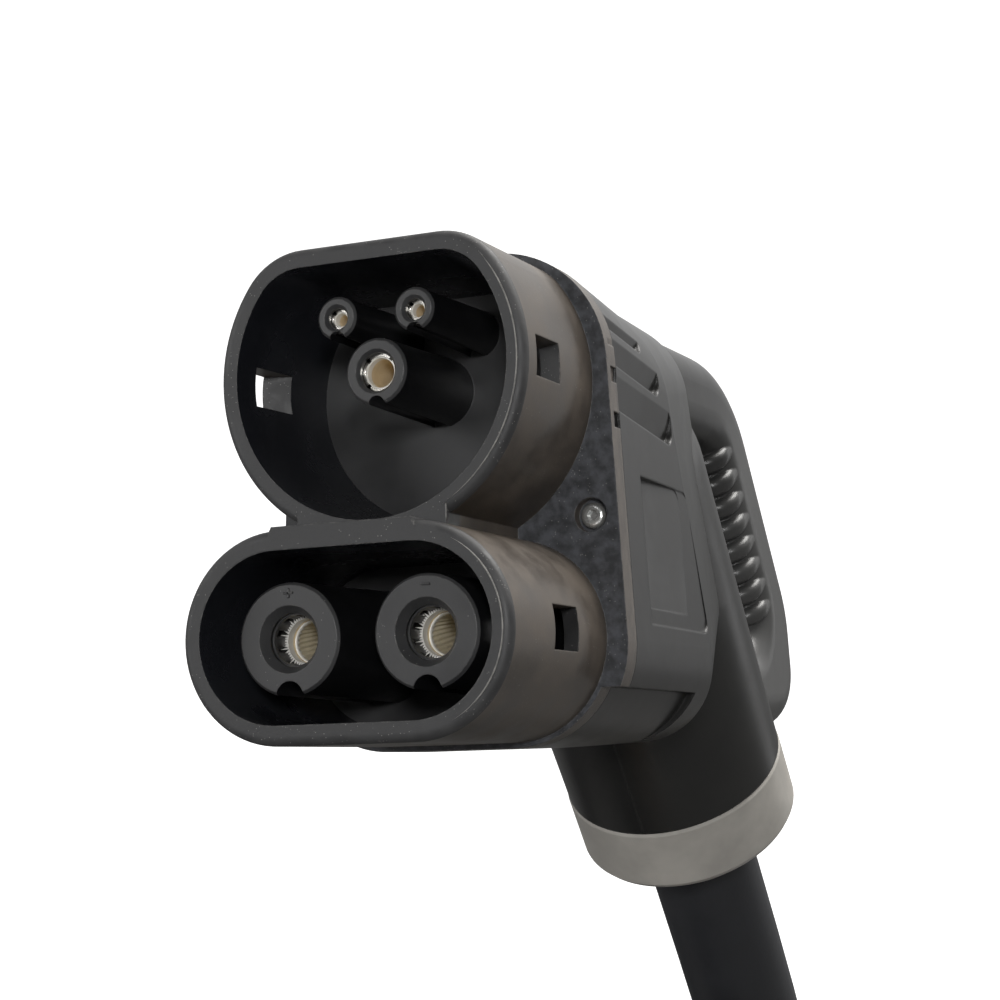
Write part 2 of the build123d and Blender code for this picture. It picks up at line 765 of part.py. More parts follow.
def temperature_sensors():
    """A bead strapped to each power contact's barrel."""
    beads = []
    for side in (-1, 1):
        place = (side * dc_x, dc_barrel - sensor_setback, stadium_z + dc_core / 2 + 1.3 + 0.05)
        plane = Plane(origin=place, x_dir=(1, 0, 0), z_dir=(0, 0, 1))
        bead = extrude(plane * RectangleRounded(5, 9, 1.2), amount=2.6)
        beads.append(fillet(bead.faces().sort_by(Axis.Z)[-1].edges(), 0.8))
    return Compound(children=beads)


def coding_board():
    """The small board with the proximity resistor, fixed behind the upper retainer."""
    back = retainer_back
    height = -shroud_radius + 15.0
    board = slab(Pos(0, height) * RectangleRounded(26, 12, 1.5), back + 0.05, back + 1.65)
    resistor = slab(Pos(-4, height) * RectangleRounded(6.4, 3.2, 0.3), back + 1.65, back + 2.9)
    relay = slab(Pos(6, height) * RectangleRounded(5, 6, 0.4), back + 1.65, back + 4.2)
    return board + resistor + relay


# ------------------------------------------------------------------ free cable
# corners of the free route after the gland; the last leg touches the coil's top turn
free_route = [(-8.8, 249.5, -170.7), (-30.0, 294.0, -193.0), (-63.1, 332.3, -203.8), (-105.1, 359.2, -205.7)]
turn_rows = (cable_radius, cable_radius + cable_diameter)
top_row = turn_rows[1] + cable_diameter * sin(radians(60))


def ring_point(angle, radius, height):
    turn = radians(angle)
    return (coil_centre[0] + radius * cos(turn), coil_centre[1] + radius * sin(turn), floor_z + height)


def bend_radii(points):
    """Each arc is as large as its two runs allow; the last run belongs to one arc only."""
    radii = []
    vectors = [Vector(*point) for point in points]
    last = len(vectors) - 2
    for index in range(1, last + 1):
        first = vectors[index] - vectors[index - 1]
        second = vectors[index + 1] - vectors[index]
        room = second.length * (2 if index == last else 1)
        half_turn = radians(first.get_angle(second)) / 2
        radii.append(0.45 * min(first.length, room) / tan(half_turn))
    return radii


def cable_route():
    corners = [neck_point(sheath_end), neck_point(first_bend)]
    touch = ring_point(touch_angle, coil_radius, top_row)
    return [(point.X, point.Y, point.Z) for point in corners] + free_route + [touch]


def cable_tube(points, radii):
    path = FilletPolyline(*points, radius=radii)
    section = Plane(origin=path @ 0, z_dir=path % 0) * Circle(cable_radius)
    tube = sweep(section, path=path)
    by_volume = tube.volume / (pi * cable_radius ** 2)
    print(f"cable stretch {path.length:.1f} mm, volume over section {by_volume:.1f} mm")
    return tube


def cable_parts():
    """The tube as far as it clears the coil, and the rest, which belongs to the coil's solid."""
    route = cable_route()
    radii = bend_radii(route)
    print("cable bend radii", [round(radius, 1) for radius in radii])
    middle = (Vector(*route[2]) + Vector(*route[3])) * 0.5
    split_at = (middle.X, middle.Y, middle.Z)
    tube = cable_tube(route[:3] + [split_at], radii[:2])
    lead_in = cable_tube([split_at] + route[3:], radii[2:])
    return tube, lead_in


def coil(lead_in):
    """Outer shape of five turns: two rows of two, one on top, the lead-in and the straight tail."""
    centre = Location((coil_centre[0], coil_centre[1], floor_z))
    block = Pos(coil_radius, 0, cable_diameter) * Rot(90, 0, 0) * RectangleRounded(
        2 * cable_diameter, 2 * cable_diameter, cable_radius - 0.5)
    ring = revolve(block, Axis.Z)
    crown = Pos(coil_radius, 0, top_row) * Rot(90, 0, 0) * Circle(cable_radius)
    crown = Rot(0, 0, touch_angle) * revolve(crown, Axis.Z, revolution_arc=300)
    tail_start = Plane(origin=(0, -coil_radius - cable_radius, turn_rows[0]), z_dir=(1, 0, 0))
    tail = tail_start * Circle(cable_radius)
    return centre * (ring + crown + extrude(tail, amount=tail_run)) + lead_in


def tail_place(distance, height=0.0, across=0.0):
    return (coil_centre[0] + tail_run + distance, coil_centre[1] - coil_radius - cable_radius + across,
            floor_z + cable_radius + height)


def tail_boot():
    """A moulded breakout boot on the cut sheath."""
    points = [
        (0, -22), (cable_radius + 1.6, -22), (cable_radius + 1.6, 4), (cable_radius - 3.0, 16), (0, 16),
    ]
    outline = make_face(Polyline(*[(r, 0, x) for r, x in points], close=True))
    boot = revolve(outline, Axis.Z)
    boot -= extrude(Plane.XY.offset(-23) * Circle(cable_radius + 0.05), amount=23)
    boot -= Pos(-cable_radius - 5, 0, 0) * Box(10, 60, 80)
    return Location(Plane(origin=tail_place(0), x_dir=(0, 0, 1), z_dir=(1, 0, 0))) * boot


tail_places = ((5.4, -2.2, dc_core), (-5.4, -2.2, dc_core), (0, 6.0, earth_core), (-5.6, 5.4, signal_core),
               (5.6, 5.4, signal_core))
tail_reach = (62.0, 50.0, 56.0, 40.0, 44.0)


def tail_cores():
    """Five insulated cores that fan out of the boot."""
    cores = []
    for (across, up, size), reach in zip(tail_places, tail_reach):
        face = Plane(origin=tail_place(16, up, across), z_dir=(1, 0, 0))
        cores.append(extrude(face * Circle(size / 2 - 0.1), amount=reach - 16))
    return Compound(children=cores)


def tail_lugs():
    """Ring lugs on the power and earth cores, ferrules on the signal cores."""
    lugs = []
    for (across, up, size), reach in zip(tail_places, tail_reach):
        face = Plane(origin=tail_place(reach, up, across), x_dir=(0, 1, 0), z_dir=(1, 0, 0))
        if size == signal_core:
            lugs.append(extrude(face * Circle(0.9), amount=8))
            continue
        barrel = extrude(face * Circle(size * 0.4), amount=12)
        tongue = extrude(face.offset(10) * Rectangle(size * 1.25, 2.2), amount=14)
        eye = Location(tail_place(reach + 24, up, across)) * Pos(0, 0, -1.1) * Cylinder(
            size * 0.625, 2.2, align=(Align.CENTER, Align.CENTER, Align.MIN))
        hole = Location(tail_place(reach + 24, up, across)) * Cylinder(size * 0.33, 10)
        lugs.append(barrel + tongue + eye - hole)
    return Compound(children=lugs)


# ------------------------------------------------------------------ write every piece
left_half, right_half = housing_halves()
cable, lead_in = cable_parts()
pieces = {
    "front_shroud": front_shroud(),
    "ac_contact_carrier": ac_carrier(),
    "dc_contact_carrier": dc_carrier(),
    "dc_touch_guards": touch_guards(),
    "earth_contact": earth_contact(),
    "control_pilot_contact": signal_contact(-1),
    "proximity_contact": signal_contact(1),
    "dc_plus_contact": dc_contact(-1),
    "dc_minus_contact": dc_contact(1),
    "dc_lamella_cages": lamella_cages(),
    "ac_retainer": ac_retainer(),
    "dc_retainer": dc_retainer(),
    "housing_left": left_half,
    "housing_right": right_half,
    "gland_nut": gland_nut(),
    "gland_seal": gland_seal(),
    "gland_claw": gland_claw(),
    "clamp_upper": clamp_half(1),
    "clamp_lower": clamp_half(-1),
    "clamp_screws": clamp_screws(),
    "flange_screws": flange_screws(),
    "housing_screws": housing_screws(),
    "earth_lead": earth_lead(),
    "control_pilot_lead": signal_lead(-1),
    "proximity_lead": signal_lead(1),
    "dc_plus_lead": dc_lead(-1),
    "dc_minus_lead": dc_lead(1),
    "temperature_sensors": temperature_sensors(),
    "coding_board": coding_board(),
    "cable": cable,
    "cable_coil": coil(lead_in),
    "tail_boot": tail_boot(),
    "tail_cores": tail_cores(),
    "tail_lugs": tail_lugs(),
}
for name, shape in pieces.items():
    save(shape, name)
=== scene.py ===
"""Looks of the electric vehicle charging plug: finishes, fasteners, spring cages, marks and the cable.

Metres, in the plug's own frame: +Y runs into the plug, +X is right seen from the front, +Z is up.
"""

import bmesh
import bpy
import math
from mathutils import Matrix, Vector


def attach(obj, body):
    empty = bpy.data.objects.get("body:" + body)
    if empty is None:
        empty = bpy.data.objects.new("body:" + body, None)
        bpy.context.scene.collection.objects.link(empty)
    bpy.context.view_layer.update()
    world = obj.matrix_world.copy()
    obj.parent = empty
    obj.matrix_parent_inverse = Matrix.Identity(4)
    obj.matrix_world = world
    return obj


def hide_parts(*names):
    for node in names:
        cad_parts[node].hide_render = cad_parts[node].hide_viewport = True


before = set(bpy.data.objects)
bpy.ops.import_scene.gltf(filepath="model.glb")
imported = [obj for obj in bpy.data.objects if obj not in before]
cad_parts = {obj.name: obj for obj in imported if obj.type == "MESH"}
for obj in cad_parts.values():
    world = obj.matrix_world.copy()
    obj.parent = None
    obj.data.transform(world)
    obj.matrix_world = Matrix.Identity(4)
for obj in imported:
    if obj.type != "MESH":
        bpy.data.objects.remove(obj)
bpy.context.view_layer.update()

MM = 0.001


# ------------------------------------------------------------------ the plug's own sizes
SHROUD_WALL_INNER = 27.9 * MM        # inside the upper shroud, from the earth contact's axis
SHROUD_TOP_INNER = 20.6 * MM
SLOT_HALF = 13.55 * MM               # the lower shroud's half length between its round ends
SLOT_INNER = 15.65 * MM
SLOT_Z = -49.1 * MM
CARRIER_FRONT = 30.8 * MM
RIM_ROUND = 1.8 * MM                 # depth of the rounded front edges
SLOT_FRONT = -11.9 * MM
BRIDGE_HALF = 15.2 * MM              # the block between the two shrouds
BRIDGE_FOOT = -30.4 * MM
BRIDGE_SKIN = 5.6 * MM               # how far back its charcoal skin reaches
LOWER_REACH = 22.0 * MM              # nothing of the lower shroud lies further from the contacts' line
FLANGE_FRONT = 31.3 * MM
POWER_X = 13.8 * MM
SIGNAL_X = 8.03 * MM
SIGNAL_Z = 10.85 * MM
POWER_BORE = 4.1 * MM
CAGE_SEAT = POWER_BORE + 0.7 * MM    # the groove that holds the spring cage
POWER_TIP = -6.2 * MM                # the power sleeves' front faces
SIGNAL_TIP = 3.1 * MM                # the small sleeves' front faces
EARTH_BORE = 3.05 * MM
SIGNAL_BORE = 1.55 * MM
UPPER_EDGE = 29.8 * MM               # outer edge of the upper rim's flat, and of its flat top
UPPER_EDGE_TOP = 22.5 * MM
LOWER_EDGE = 17.55 * MM
NECK_RIM = Vector((0, 153.5, -72.2)) * MM
NECK_TURN = math.radians(50.7)
NECK_AXIS = Vector((0, math.cos(NECK_TURN), -math.sin(NECK_TURN)))
NECK_UP = Vector((0, math.sin(NECK_TURN), math.cos(NECK_TURN)))
CABLE = 26.5 * MM
COIL_CENTRE = Vector((-168.8, 223.0, 0)) * MM
REST_Z = -268.4 * MM                 # the surface that the coil lies on
TOP_TURN = (148.5, 62.7)             # (radius, height) of the cable's middle in each place, in millimetres
OUTER_UPPER = (161.75, 39.75)
INNER_UPPER = (135.25, 39.75)
INNER_LOWER = (135.25, 13.25)
OUTER_LOWER = (161.75, 13.25)
NEAR = 0.1 * MM                      # how close to a plane a face still counts as on it


def neck_place(s, x=0.0, up=0.0):
    """A point beside the neck's axis, s millimetres below the nut's upper rim."""
    return NECK_RIM + (NECK_AXIS * s + NECK_UP * up + Vector((x, 0, 0))) * MM


# ------------------------------------------------------------------ node helpers
def put(tree, kind, links=None, **values):
    """A node with its sockets set: a number or colour is a value, a socket is joined."""
    node = tree.nodes.new(kind)
    for key, value in values.items():
        setattr(node, key, value)
    for name, value in (links or {}).items():
        socket = node.inputs[name]
        if isinstance(value, bpy.types.NodeSocket):
            tree.links.new(value, socket)
        else:
            socket.default_value = value
    return node


def calc(tree, operation, *values, clamp=False):
    links = {index: value for index, value in enumerate(values)}
    return put(tree, "ShaderNodeMath", links, operation=operation, use_clamp=clamp).outputs[0]


def blend_colours(tree, factor, first, second):
    node = put(tree, "ShaderNodeMix", data_type="RGBA")
    for index, value in ((0, factor), (6, first), (7, second)):
        if isinstance(value, bpy.types.NodeSocket):
            tree.links.new(value, node.inputs[index])
        else:
            node.inputs[index].default_value = value
    return node.outputs[2]


def ramp(tree, value, low, high, to_low=0.0, to_high=1.0):
    links = {"Value": value, "From Min": low, "From Max": high, "To Min": to_low, "To Max": to_high}
    return put(tree, "ShaderNodeMapRange", links, interpolation_type="SMOOTHSTEP").outputs[0]


def new_group(name, inputs, outputs):
    """An empty shader group: inputs as (name, type, default), outputs as (name, type)."""
    group = bpy.data.node_groups.new(name, "ShaderNodeTree")
    for label, kind, default in inputs:
        group.interface.new_socket(name=label, in_out="INPUT", socket_type=kind).default_value = default
    for label, kind in outputs:
        group.interface.new_socket(name=label, in_out="OUTPUT", socket_type=kind)
    return group, group.nodes.new("NodeGroupInput").outputs, group.nodes.new("NodeGroupOutput").inputs


def place_group(tree, group, **values):
    node = put(tree, "ShaderNodeGroup", node_tree=group)
    for name, value in values.items():
        socket = node.inputs[name.replace("_", " ")]
        if isinstance(value, bpy.types.NodeSocket):
            tree.links.new(value, socket)
        else:
            socket.default_value = value
    return node.outputs


# ------------------------------------------------------------------ shared surface effects
def make_moulding_grain():
    """Fine texture of a moulded skin: a small-scale height, and slow patches of tone."""
    number = "NodeSocketFloat"
    inputs = [("Grain Scale", number, 2500.0), ("Patch Scale", number, 60.0),
              ("Stretch", "NodeSocketVector", (1, 1, 1))]
    group, given, result = new_group("moulding_grain", inputs, [("Height", number), ("Patches", number)])
    place = put(group, "ShaderNodeTexCoord").outputs["Object"]
    place = put(group, "ShaderNodeVectorMath", {0: place, 1: given["Stretch"]},
                operation="MULTIPLY").outputs[0]
    fine = put(group, "ShaderNodeTexNoise", {"Vector": place, "Scale": given["Grain Scale"], "Detail": 3.0})
    slow = put(group, "ShaderNodeTexNoise", {"Vector": place, "Scale": given["Patch Scale"], "Detail": 4.0,
                                             "Roughness": 0.62})
    group.links.new(fine.outputs[0], result["Height"])
    group.links.new(ramp(group, slow.outputs[0], 0.32, 0.7), result["Patches"])
    return group


def make_edge_wear():
    """Worn edges: a mask where the skin turns sharply, broken up by noise, and the eased normal."""
    number = "NodeSocketFloat"
    group, given, result = new_group(
        "edge_wear", [("Width", number, 0.0004), ("Amount", number, 1.0)],
        [("Mask", number), ("Normal", "NodeSocketVector")])
    eased = put(group, "ShaderNodeBevel", {"Radius": given["Width"]}, samples=4).outputs[0]
    flat = put(group, "ShaderNodeNewGeometry").outputs["Normal"]
    along = put(group, "ShaderNodeVectorMath", {0: eased, 1: flat},
                operation="DOT_PRODUCT").outputs["Value"]
    place = put(group, "ShaderNodeTexCoord").outputs["Object"]
    rub = put(group, "ShaderNodeTexNoise", {"Vector": place, "Scale": 900.0, "Detail": 5.0}).outputs[0]
    edge = ramp(group, along, 0.995, 0.86)
    worn = calc(group, "MULTIPLY", edge, ramp(group, rub, 0.4, 0.68))
    group.links.new(calc(group, "MULTIPLY", worn, given["Amount"], clamp=True), result["Mask"])
    group.links.new(eased, result["Normal"])
    return group


def make_dust_specks():
    """Scattered pale specks, thicker where slow patches say so."""
    number = "NodeSocketFloat"
    group, given, result = new_group(
        "dust_specks", [("Scale", number, 3000.0), ("Cover", number, 0.2)], [("Mask", number)])
    place = put(group, "ShaderNodeTexCoord").outputs["Object"]
    cells = put(group, "ShaderNodeTexVoronoi", {"Vector": place, "Scale": given["Scale"]})
    size = put(group, "ShaderNodeSeparateColor", {0: cells.outputs["Color"]}).outputs[0]
    patch = put(group, "ShaderNodeTexNoise", {"Vector": place, "Scale": 130.0, "Detail": 3.0}).outputs[0]
    cover = calc(group, "MULTIPLY", given["Cover"], ramp(group, patch, 0.42, 0.62))
    limit = calc(group, "SUBTRACT", 1.0, cover)
    chosen = calc(group, "GREATER_THAN", size, limit)
    near = ramp(group, cells.outputs["Distance"], 0.34, 0.1)
    group.links.new(calc(group, "MULTIPLY", chosen, near), result["Mask"])
    return group


GRAIN = make_moulding_grain()
WEAR = make_edge_wear()
SPECKS = make_dust_specks()


# ------------------------------------------------------------------ finishes
def finish_shell(name, **sockets):
    """A material with a Principled shader, its plain values set on the shader itself."""
    material = bpy.data.materials.new(name)
    material.use_nodes = True
    tree = material.node_tree
    shader = tree.nodes["Principled BSDF"]
    for key, value in sockets.items():
        shader.inputs[key.replace("_", " ")].default_value = value
    return material, tree, shader


def rgb(red, green, blue):
    return (red, green, blue, 1.0)


WORN = rgb(0.3, 0.29, 0.27)
DUST = rgb(0.28, 0.275, 0.26)
PLASTIC_BUMP = 0.00006
METAL_BUMP = 0.00004
METAL_EDGE = 0.00015


def moulded_plastic(name, low, high, rough, grain=0.25, grain_scale=2500.0, patch_scale=60.0, worn=WORN,
                    wear=0.35, width=0.0004, specks=0.0, spec=0.5, stretch=(1, 1, 1), skin_over=None):
    """Moulded plastic: two tones in patches, a fine skin, rubbed edges and a little dust.

    skin_over(tree) may give a mask and a colour that replaces the two tones there.
    """
    material, tree, shader = finish_shell(name, Specular_IOR_Level=spec)
    skin = place_group(tree, GRAIN, Grain_Scale=grain_scale, Patch_Scale=patch_scale, Stretch=stretch)
    edge = place_group(tree, WEAR, Width=width, Amount=wear)
    colour = blend_colours(tree, skin["Patches"], low, high)
    roughness = ramp(tree, skin["Patches"], 0.0, 1.0, rough[0], rough[1])
    if skin_over:
        mask, tone = skin_over(tree)
        colour = blend_colours(tree, mask, colour, tone)
    colour = blend_colours(tree, edge["Mask"], colour, worn)
    if specks:
        dust = place_group(tree, SPECKS, Cover=specks)["Mask"]
        colour = blend_colours(tree, dust, colour, DUST)
    tree.links.new(colour, shader.inputs["Base Color"])
    tree.links.new(roughness, shader.inputs["Roughness"])
    bump = put(tree, "ShaderNodeBump", {"Strength": grain, "Distance": PLASTIC_BUMP,
                                        "Height": skin["Height"], "Normal": edge["Normal"]})
    tree.links.new(bump.outputs[0], shader.inputs["Normal"])
    return material


def plated_metal(name, low, high, rough, lines=(1, 1, 1), grain=0.15, metallic=1.0, mouth=None):
    """Bright metal with fine turning or drawing lines and slow tarnish; a mouth is (depth, colour)."""
    material, tree, shader = finish_shell(name, Metallic=metallic)
    skin = place_group(tree, GRAIN, Grain_Scale=1800.0, Patch_Scale=260.0, Stretch=lines)
    colour = blend_colours(tree, skin["Patches"], low, high)
    if mouth:
        place = put(tree, "ShaderNodeTexCoord").outputs["Object"]
        depth = put(tree, "ShaderNodeSeparateXYZ", {0: place}).outputs[1]
        past = ramp(tree, depth, mouth[0], mouth[0] + 0.3 * MM)
        colour = blend_colours(tree, past, mouth[1], colour)
    tree.links.new(colour, shader.inputs["Base Color"])
    tree.links.new(ramp(tree, skin["Patches"], 0.0, 1.0, rough[0], rough[1]), shader.inputs["Roughness"])
    edge = place_group(tree, WEAR, Width=METAL_EDGE, Amount=0.0)
    bump = put(tree, "ShaderNodeBump", {"Strength": grain, "Distance": METAL_BUMP, "Height": skin["Height"],
                                        "Normal": edge["Normal"]})
    tree.links.new(bump.outputs[0], shader.inputs["Normal"])
    return material


def bridge_skin(tree):
    """The front of the block between the shrouds keeps the rim's charcoal on its sides."""
    place = put(tree, "ShaderNodeTexCoord").outputs["Object"]
    axes = put(tree, "ShaderNodeSeparateXYZ", {0: place}).outputs
    within = calc(tree, "LESS_THAN", calc(tree, "ABSOLUTE", axes[0]), BRIDGE_HALF + 0.2 * MM)
    above = calc(tree, "GREATER_THAN", axes[2], BRIDGE_FOOT)
    below = calc(tree, "LESS_THAN", axes[2], 0.0)
    front = calc(tree, "LESS_THAN", axes[1], BRIDGE_SKIN)
    between = calc(tree, "MULTIPLY", within, above)
    mask = calc(tree, "MULTIPLY", between, calc(tree, "MULTIPLY", below, front))
    return mask, rgb(0.030, 0.030, 0.031)


def handle_painted_sheen(tree):
    """The upper handle behind the head is painted greyer: a painted sheen where the top light falls, the
    neck below left dark.
    """
    place = put(tree, "ShaderNodeTexCoord").outputs["Object"]
    axes = put(tree, "ShaderNodeSeparateXYZ", {0: place}).outputs
    behind = ramp(tree, axes[1], 146 * MM, 176 * MM)
    above = ramp(tree, calc(tree, "ADD", axes[1], axes[2]), 100 * MM, 112 * MM)
    return calc(tree, "MULTIPLY", behind, above), rgb(0.055, 0.055, 0.054)


shroud_side = moulded_plastic(
    "shroud_side_satin", rgb(0.046, 0.037, 0.029), rgb(0.090, 0.074, 0.059), (0.34, 0.44), grain=0.3,
    patch_scale=95.0, wear=0.25, specks=0.03, skin_over=bridge_skin)
shroud_rim = moulded_plastic(
    "shroud_rim_charcoal", rgb(0.031, 0.031, 0.032), rgb(0.047, 0.047, 0.048), (0.5, 0.66), grain=0.8,
    grain_scale=1900.0, patch_scale=160.0, wear=0.4, specks=0.12)
# the inside is glossy, and its colour is darker than the rim of the same moulding: painted shade in the
# recess
shroud_inside_painted_shade = moulded_plastic(
    "shroud_inside_gloss_painted_shade", rgb(0.011, 0.012, 0.015), rgb(0.018, 0.019, 0.023), (0.2, 0.3), grain=0.04,
    wear=0.0, spec=0.4)
flange_face = moulded_plastic(
    "flange_blue_grey", rgb(0.026, 0.027, 0.030), rgb(0.070, 0.073, 0.082), (0.5, 0.66), grain=0.8,
    grain_scale=1300.0, patch_scale=420.0, wear=0.35, specks=0.12)
flange_edge = moulded_plastic(
    "flange_edge_brown", rgb(0.060, 0.052, 0.046), rgb(0.120, 0.106, 0.094), (0.38, 0.5), grain=0.5,
    patch_scale=300.0, wear=0.6, stretch=(1, 3, 1))
sleeve_plastic = moulded_plastic(
    "sleeve_dark_grey", rgb(0.030, 0.030, 0.031), rgb(0.044, 0.044, 0.045), (0.36, 0.5), grain=0.3,
    wear=0.45, width=0.0003, specks=0.03)
# the sleeves' sides, near-black as painted shade deep inside the shroud; the same carrier as the charcoal
# fronts
sleeve_painted_shade = moulded_plastic(
    "sleeve_side_painted_shade", rgb(0.007, 0.007, 0.008), rgb(0.011, 0.011, 0.012), (0.3, 0.4), grain=0.1,
    wear=0.0)
carrier_floor = moulded_plastic(
    "carrier_floor", rgb(0.028, 0.028, 0.029), rgb(0.038, 0.038, 0.039), (0.4, 0.5), grain=0.1, wear=0.0)
# near-black housing; its upper handle is painted a lighter grey as a painted sheen
housing_skin = moulded_plastic(
    "housing_semi_gloss", rgb(0.010, 0.010, 0.0097), rgb(0.014, 0.0138, 0.013), (0.3, 0.36), grain=0.1,
    patch_scale=40.0, wear=0.05, width=0.0007, skin_over=handle_painted_sheen)
nut_grey = moulded_plastic(
    "nut_warm_grey", rgb(0.32, 0.305, 0.28), rgb(0.43, 0.41, 0.375), (0.36, 0.48), grain=0.2,
    patch_scale=45.0,
    worn=rgb(0.5, 0.48, 0.45), wear=0.3, width=0.0005)
cable_sheath = moulded_plastic(
    "cable_sheath_matt", rgb(0.013, 0.014, 0.017), rgb(0.020, 0.021, 0.025), (0.5, 0.62), grain=0.35,
    grain_scale=900.0, patch_scale=35.0, wear=0.0)
seal_rubber = moulded_plastic(
    "seal_rubber", rgb(0.018, 0.018, 0.018), rgb(0.03, 0.03, 0.03), (0.7, 0.85), grain=0.4, wear=0.1)
board_green = moulded_plastic(
    "board_green", rgb(0.01, 0.10, 0.04), rgb(0.02, 0.16, 0.06), (0.3, 0.4), grain=0.1, wear=0.2)
bead_glaze = moulded_plastic(
    "bead_glaze", rgb(0.62, 0.58, 0.48), rgb(0.72, 0.68, 0.58), (0.2, 0.3), grain=0.1, wear=0.1)
core_colours = {
    "earth": moulded_plastic("core_green", rgb(0.05, 0.22, 0.03), rgb(0.60, 0.55, 0.03), (0.35, 0.45)),
    "plus": moulded_plastic("core_red", rgb(0.40, 0.02, 0.015), rgb(0.52, 0.03, 0.02), (0.35, 0.45)),
    "minus": moulded_plastic("core_black", rgb(0.012, 0.012, 0.013), rgb(0.02, 0.02, 0.022), (0.35, 0.45)),
    "pilot": moulded_plastic("core_white", rgb(0.70, 0.69, 0.66), rgb(0.78, 0.77, 0.74), (0.35, 0.45)),
    "proximity": moulded_plastic("core_blue", rgb(0.02, 0.05, 0.32), rgb(0.03, 0.08, 0.40), (0.35, 0.45)),
}
silver_plate = plated_metal("silver_plate", rgb(0.80, 0.77, 0.70), rgb(0.90, 0.88, 0.83), (0.16, 0.26))
GOLD = (rgb(0.74, 0.60, 0.38), rgb(0.86, 0.73, 0.50), (0.5, 0.6))
PALE_GOLD = (rgb(0.62, 0.55, 0.40), rgb(0.78, 0.71, 0.54), (0.4, 0.5))
SILVER = rgb(0.86, 0.84, 0.79)
small_lining = plated_metal("small_contact_lining", *GOLD, metallic=0.35, mouth=(6.6 * MM, SILVER))
power_lining = plated_metal("power_contact_lining", *GOLD, lines=(3, 0.2, 3), metallic=0.45,
                            mouth=(2.4 * MM, SILVER))
gold_lining = plated_metal("gold_lining", *PALE_GOLD, lines=(3, 0.2, 3), metallic=0.45)
louvre_gold = plated_metal("louvre_gold", *PALE_GOLD, metallic=0.3, mouth=(4.0 * MM, SILVER))
# pale lines along the lit edges: a painted highlight
painted_edge_highlight = moulded_plastic(
    "painted_edge_highlight", rgb(0.15, 0.147, 0.14), rgb(0.30, 0.29, 0.27), (0.35, 0.5), grain=0.4,
    patch_scale=500.0, wear=0.0)
tie_fabric = moulded_plastic(
    "tie_fabric", rgb(0.020, 0.020, 0.022), rgb(0.032, 0.032, 0.034), (0.8, 0.95), grain=0.9,
    grain_scale=700.0, wear=0.0)
bright_steel = plated_metal("bright_steel", rgb(0.70, 0.71, 0.70), rgb(0.90, 0.90, 0.87), (0.22, 0.34),
                            metallic=0.85)


# ------------------------------------------------------------------ finishes on the CAD pieces
def dress(node, *materials, choose=None):
    """Give a CAD piece its finishes; choose(centre, normal) says which one a face takes."""
    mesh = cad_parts[node].data
    mesh.materials.clear()
    for material in materials:
        mesh.materials.append(material)
    if choose:
        for face in mesh.polygons:
            face.material_index = choose(face.center, face.normal)


def slot_distance(place):
    """Distance from the line between the two power contacts."""
    return math.hypot(max(abs(place.x) - SLOT_HALF, 0), place.z - SLOT_Z)


def shroud_part(centre, normal):
    """0 side, 1 front rim, 2 inside (glossy, darkened as painted shade), 3 flange face, 4 flange edge."""
    inside_upper = math.hypot(centre.x, centre.z) < SHROUD_WALL_INNER and centre.z < SHROUD_TOP_INNER
    if centre.y > FLANGE_FRONT - NEAR and not inside_upper and slot_distance(centre) > SLOT_INNER:
        return 3 if abs(normal.y) > 0.8 else 4
    if (inside_upper or slot_distance(centre) < SLOT_INNER) and normal.y > -0.8:
        return 2
    front = SLOT_FRONT if slot_distance(centre) < LOWER_REACH and centre.z < BRIDGE_FOOT else 0.0
    return 1 if normal.y < -0.35 or centre.y < front + RIM_ROUND else 0


def carrier_part(tip):
    """0 the sleeves' fronts, 1 the floor between them, 2 their sides, darkened as painted shade."""
    def choose(centre, normal):
        if centre.y > CARRIER_FRONT - NEAR:
            return 1
        return 2 if abs(normal.y) < 0.5 and centre.y > tip + 1.2 * MM else 0
    return choose


# (across, up, radius) of each core in the tail, in millimetres: earth, plus, minus, pilot, proximity
TAIL_CORES = ((0, 6.0, 4.0), (5.4, -2.2, 4.0), (-5.4, -2.2, 4.0), (-5.6, 5.4, 1.3), (5.6, 5.4, 1.3))


def tail_core(centre, normal):
    """Each core in the tail has its own colour, in the order of the core colours."""
    across = centre.y - COIL_CENTRE.y + OUTER_LOWER[0] * MM
    up = centre.z - REST_Z - OUTER_LOWER[1] * MM

    def outside(core):
        x, z, radius = TAIL_CORES[core]
        return math.hypot(across - x * MM, up - z * MM) - radius * MM

    return min(range(len(TAIL_CORES)), key=outside)


def contact_part(x, z, bore):
    """The bore of a contact is gold-toned, the rest silver."""
    def choose(centre, normal):
        return 1 if math.hypot(centre.x - x, centre.z - z) < bore + 0.12 * MM else 0
    return choose


dress("front_shroud", shroud_side, shroud_rim, shroud_inside_painted_shade, flange_face, flange_edge, choose=shroud_part)
dress("ac_contact_carrier", sleeve_plastic, carrier_floor, sleeve_painted_shade, choose=carrier_part(SIGNAL_TIP))
dress("dc_contact_carrier", sleeve_plastic, carrier_floor, sleeve_painted_shade, choose=carrier_part(POWER_TIP))
dress("dc_touch_guards", carrier_floor)
dress("earth_contact", silver_plate, small_lining, choose=contact_part(0, 0, EARTH_BORE))
dress("control_pilot_contact", silver_plate, small_lining,
      choose=contact_part(-SIGNAL_X, SIGNAL_Z, SIGNAL_BORE))
dress("proximity_contact", silver_plate, small_lining,
      choose=contact_part(SIGNAL_X, SIGNAL_Z, SIGNAL_BORE))
dress("dc_plus_contact", silver_plate, power_lining, choose=contact_part(-POWER_X, SLOT_Z, CAGE_SEAT))
dress("dc_minus_contact", silver_plate, power_lining, choose=contact_part(POWER_X, SLOT_Z, CAGE_SEAT))
dress("dc_lamella_cages", gold_lining)
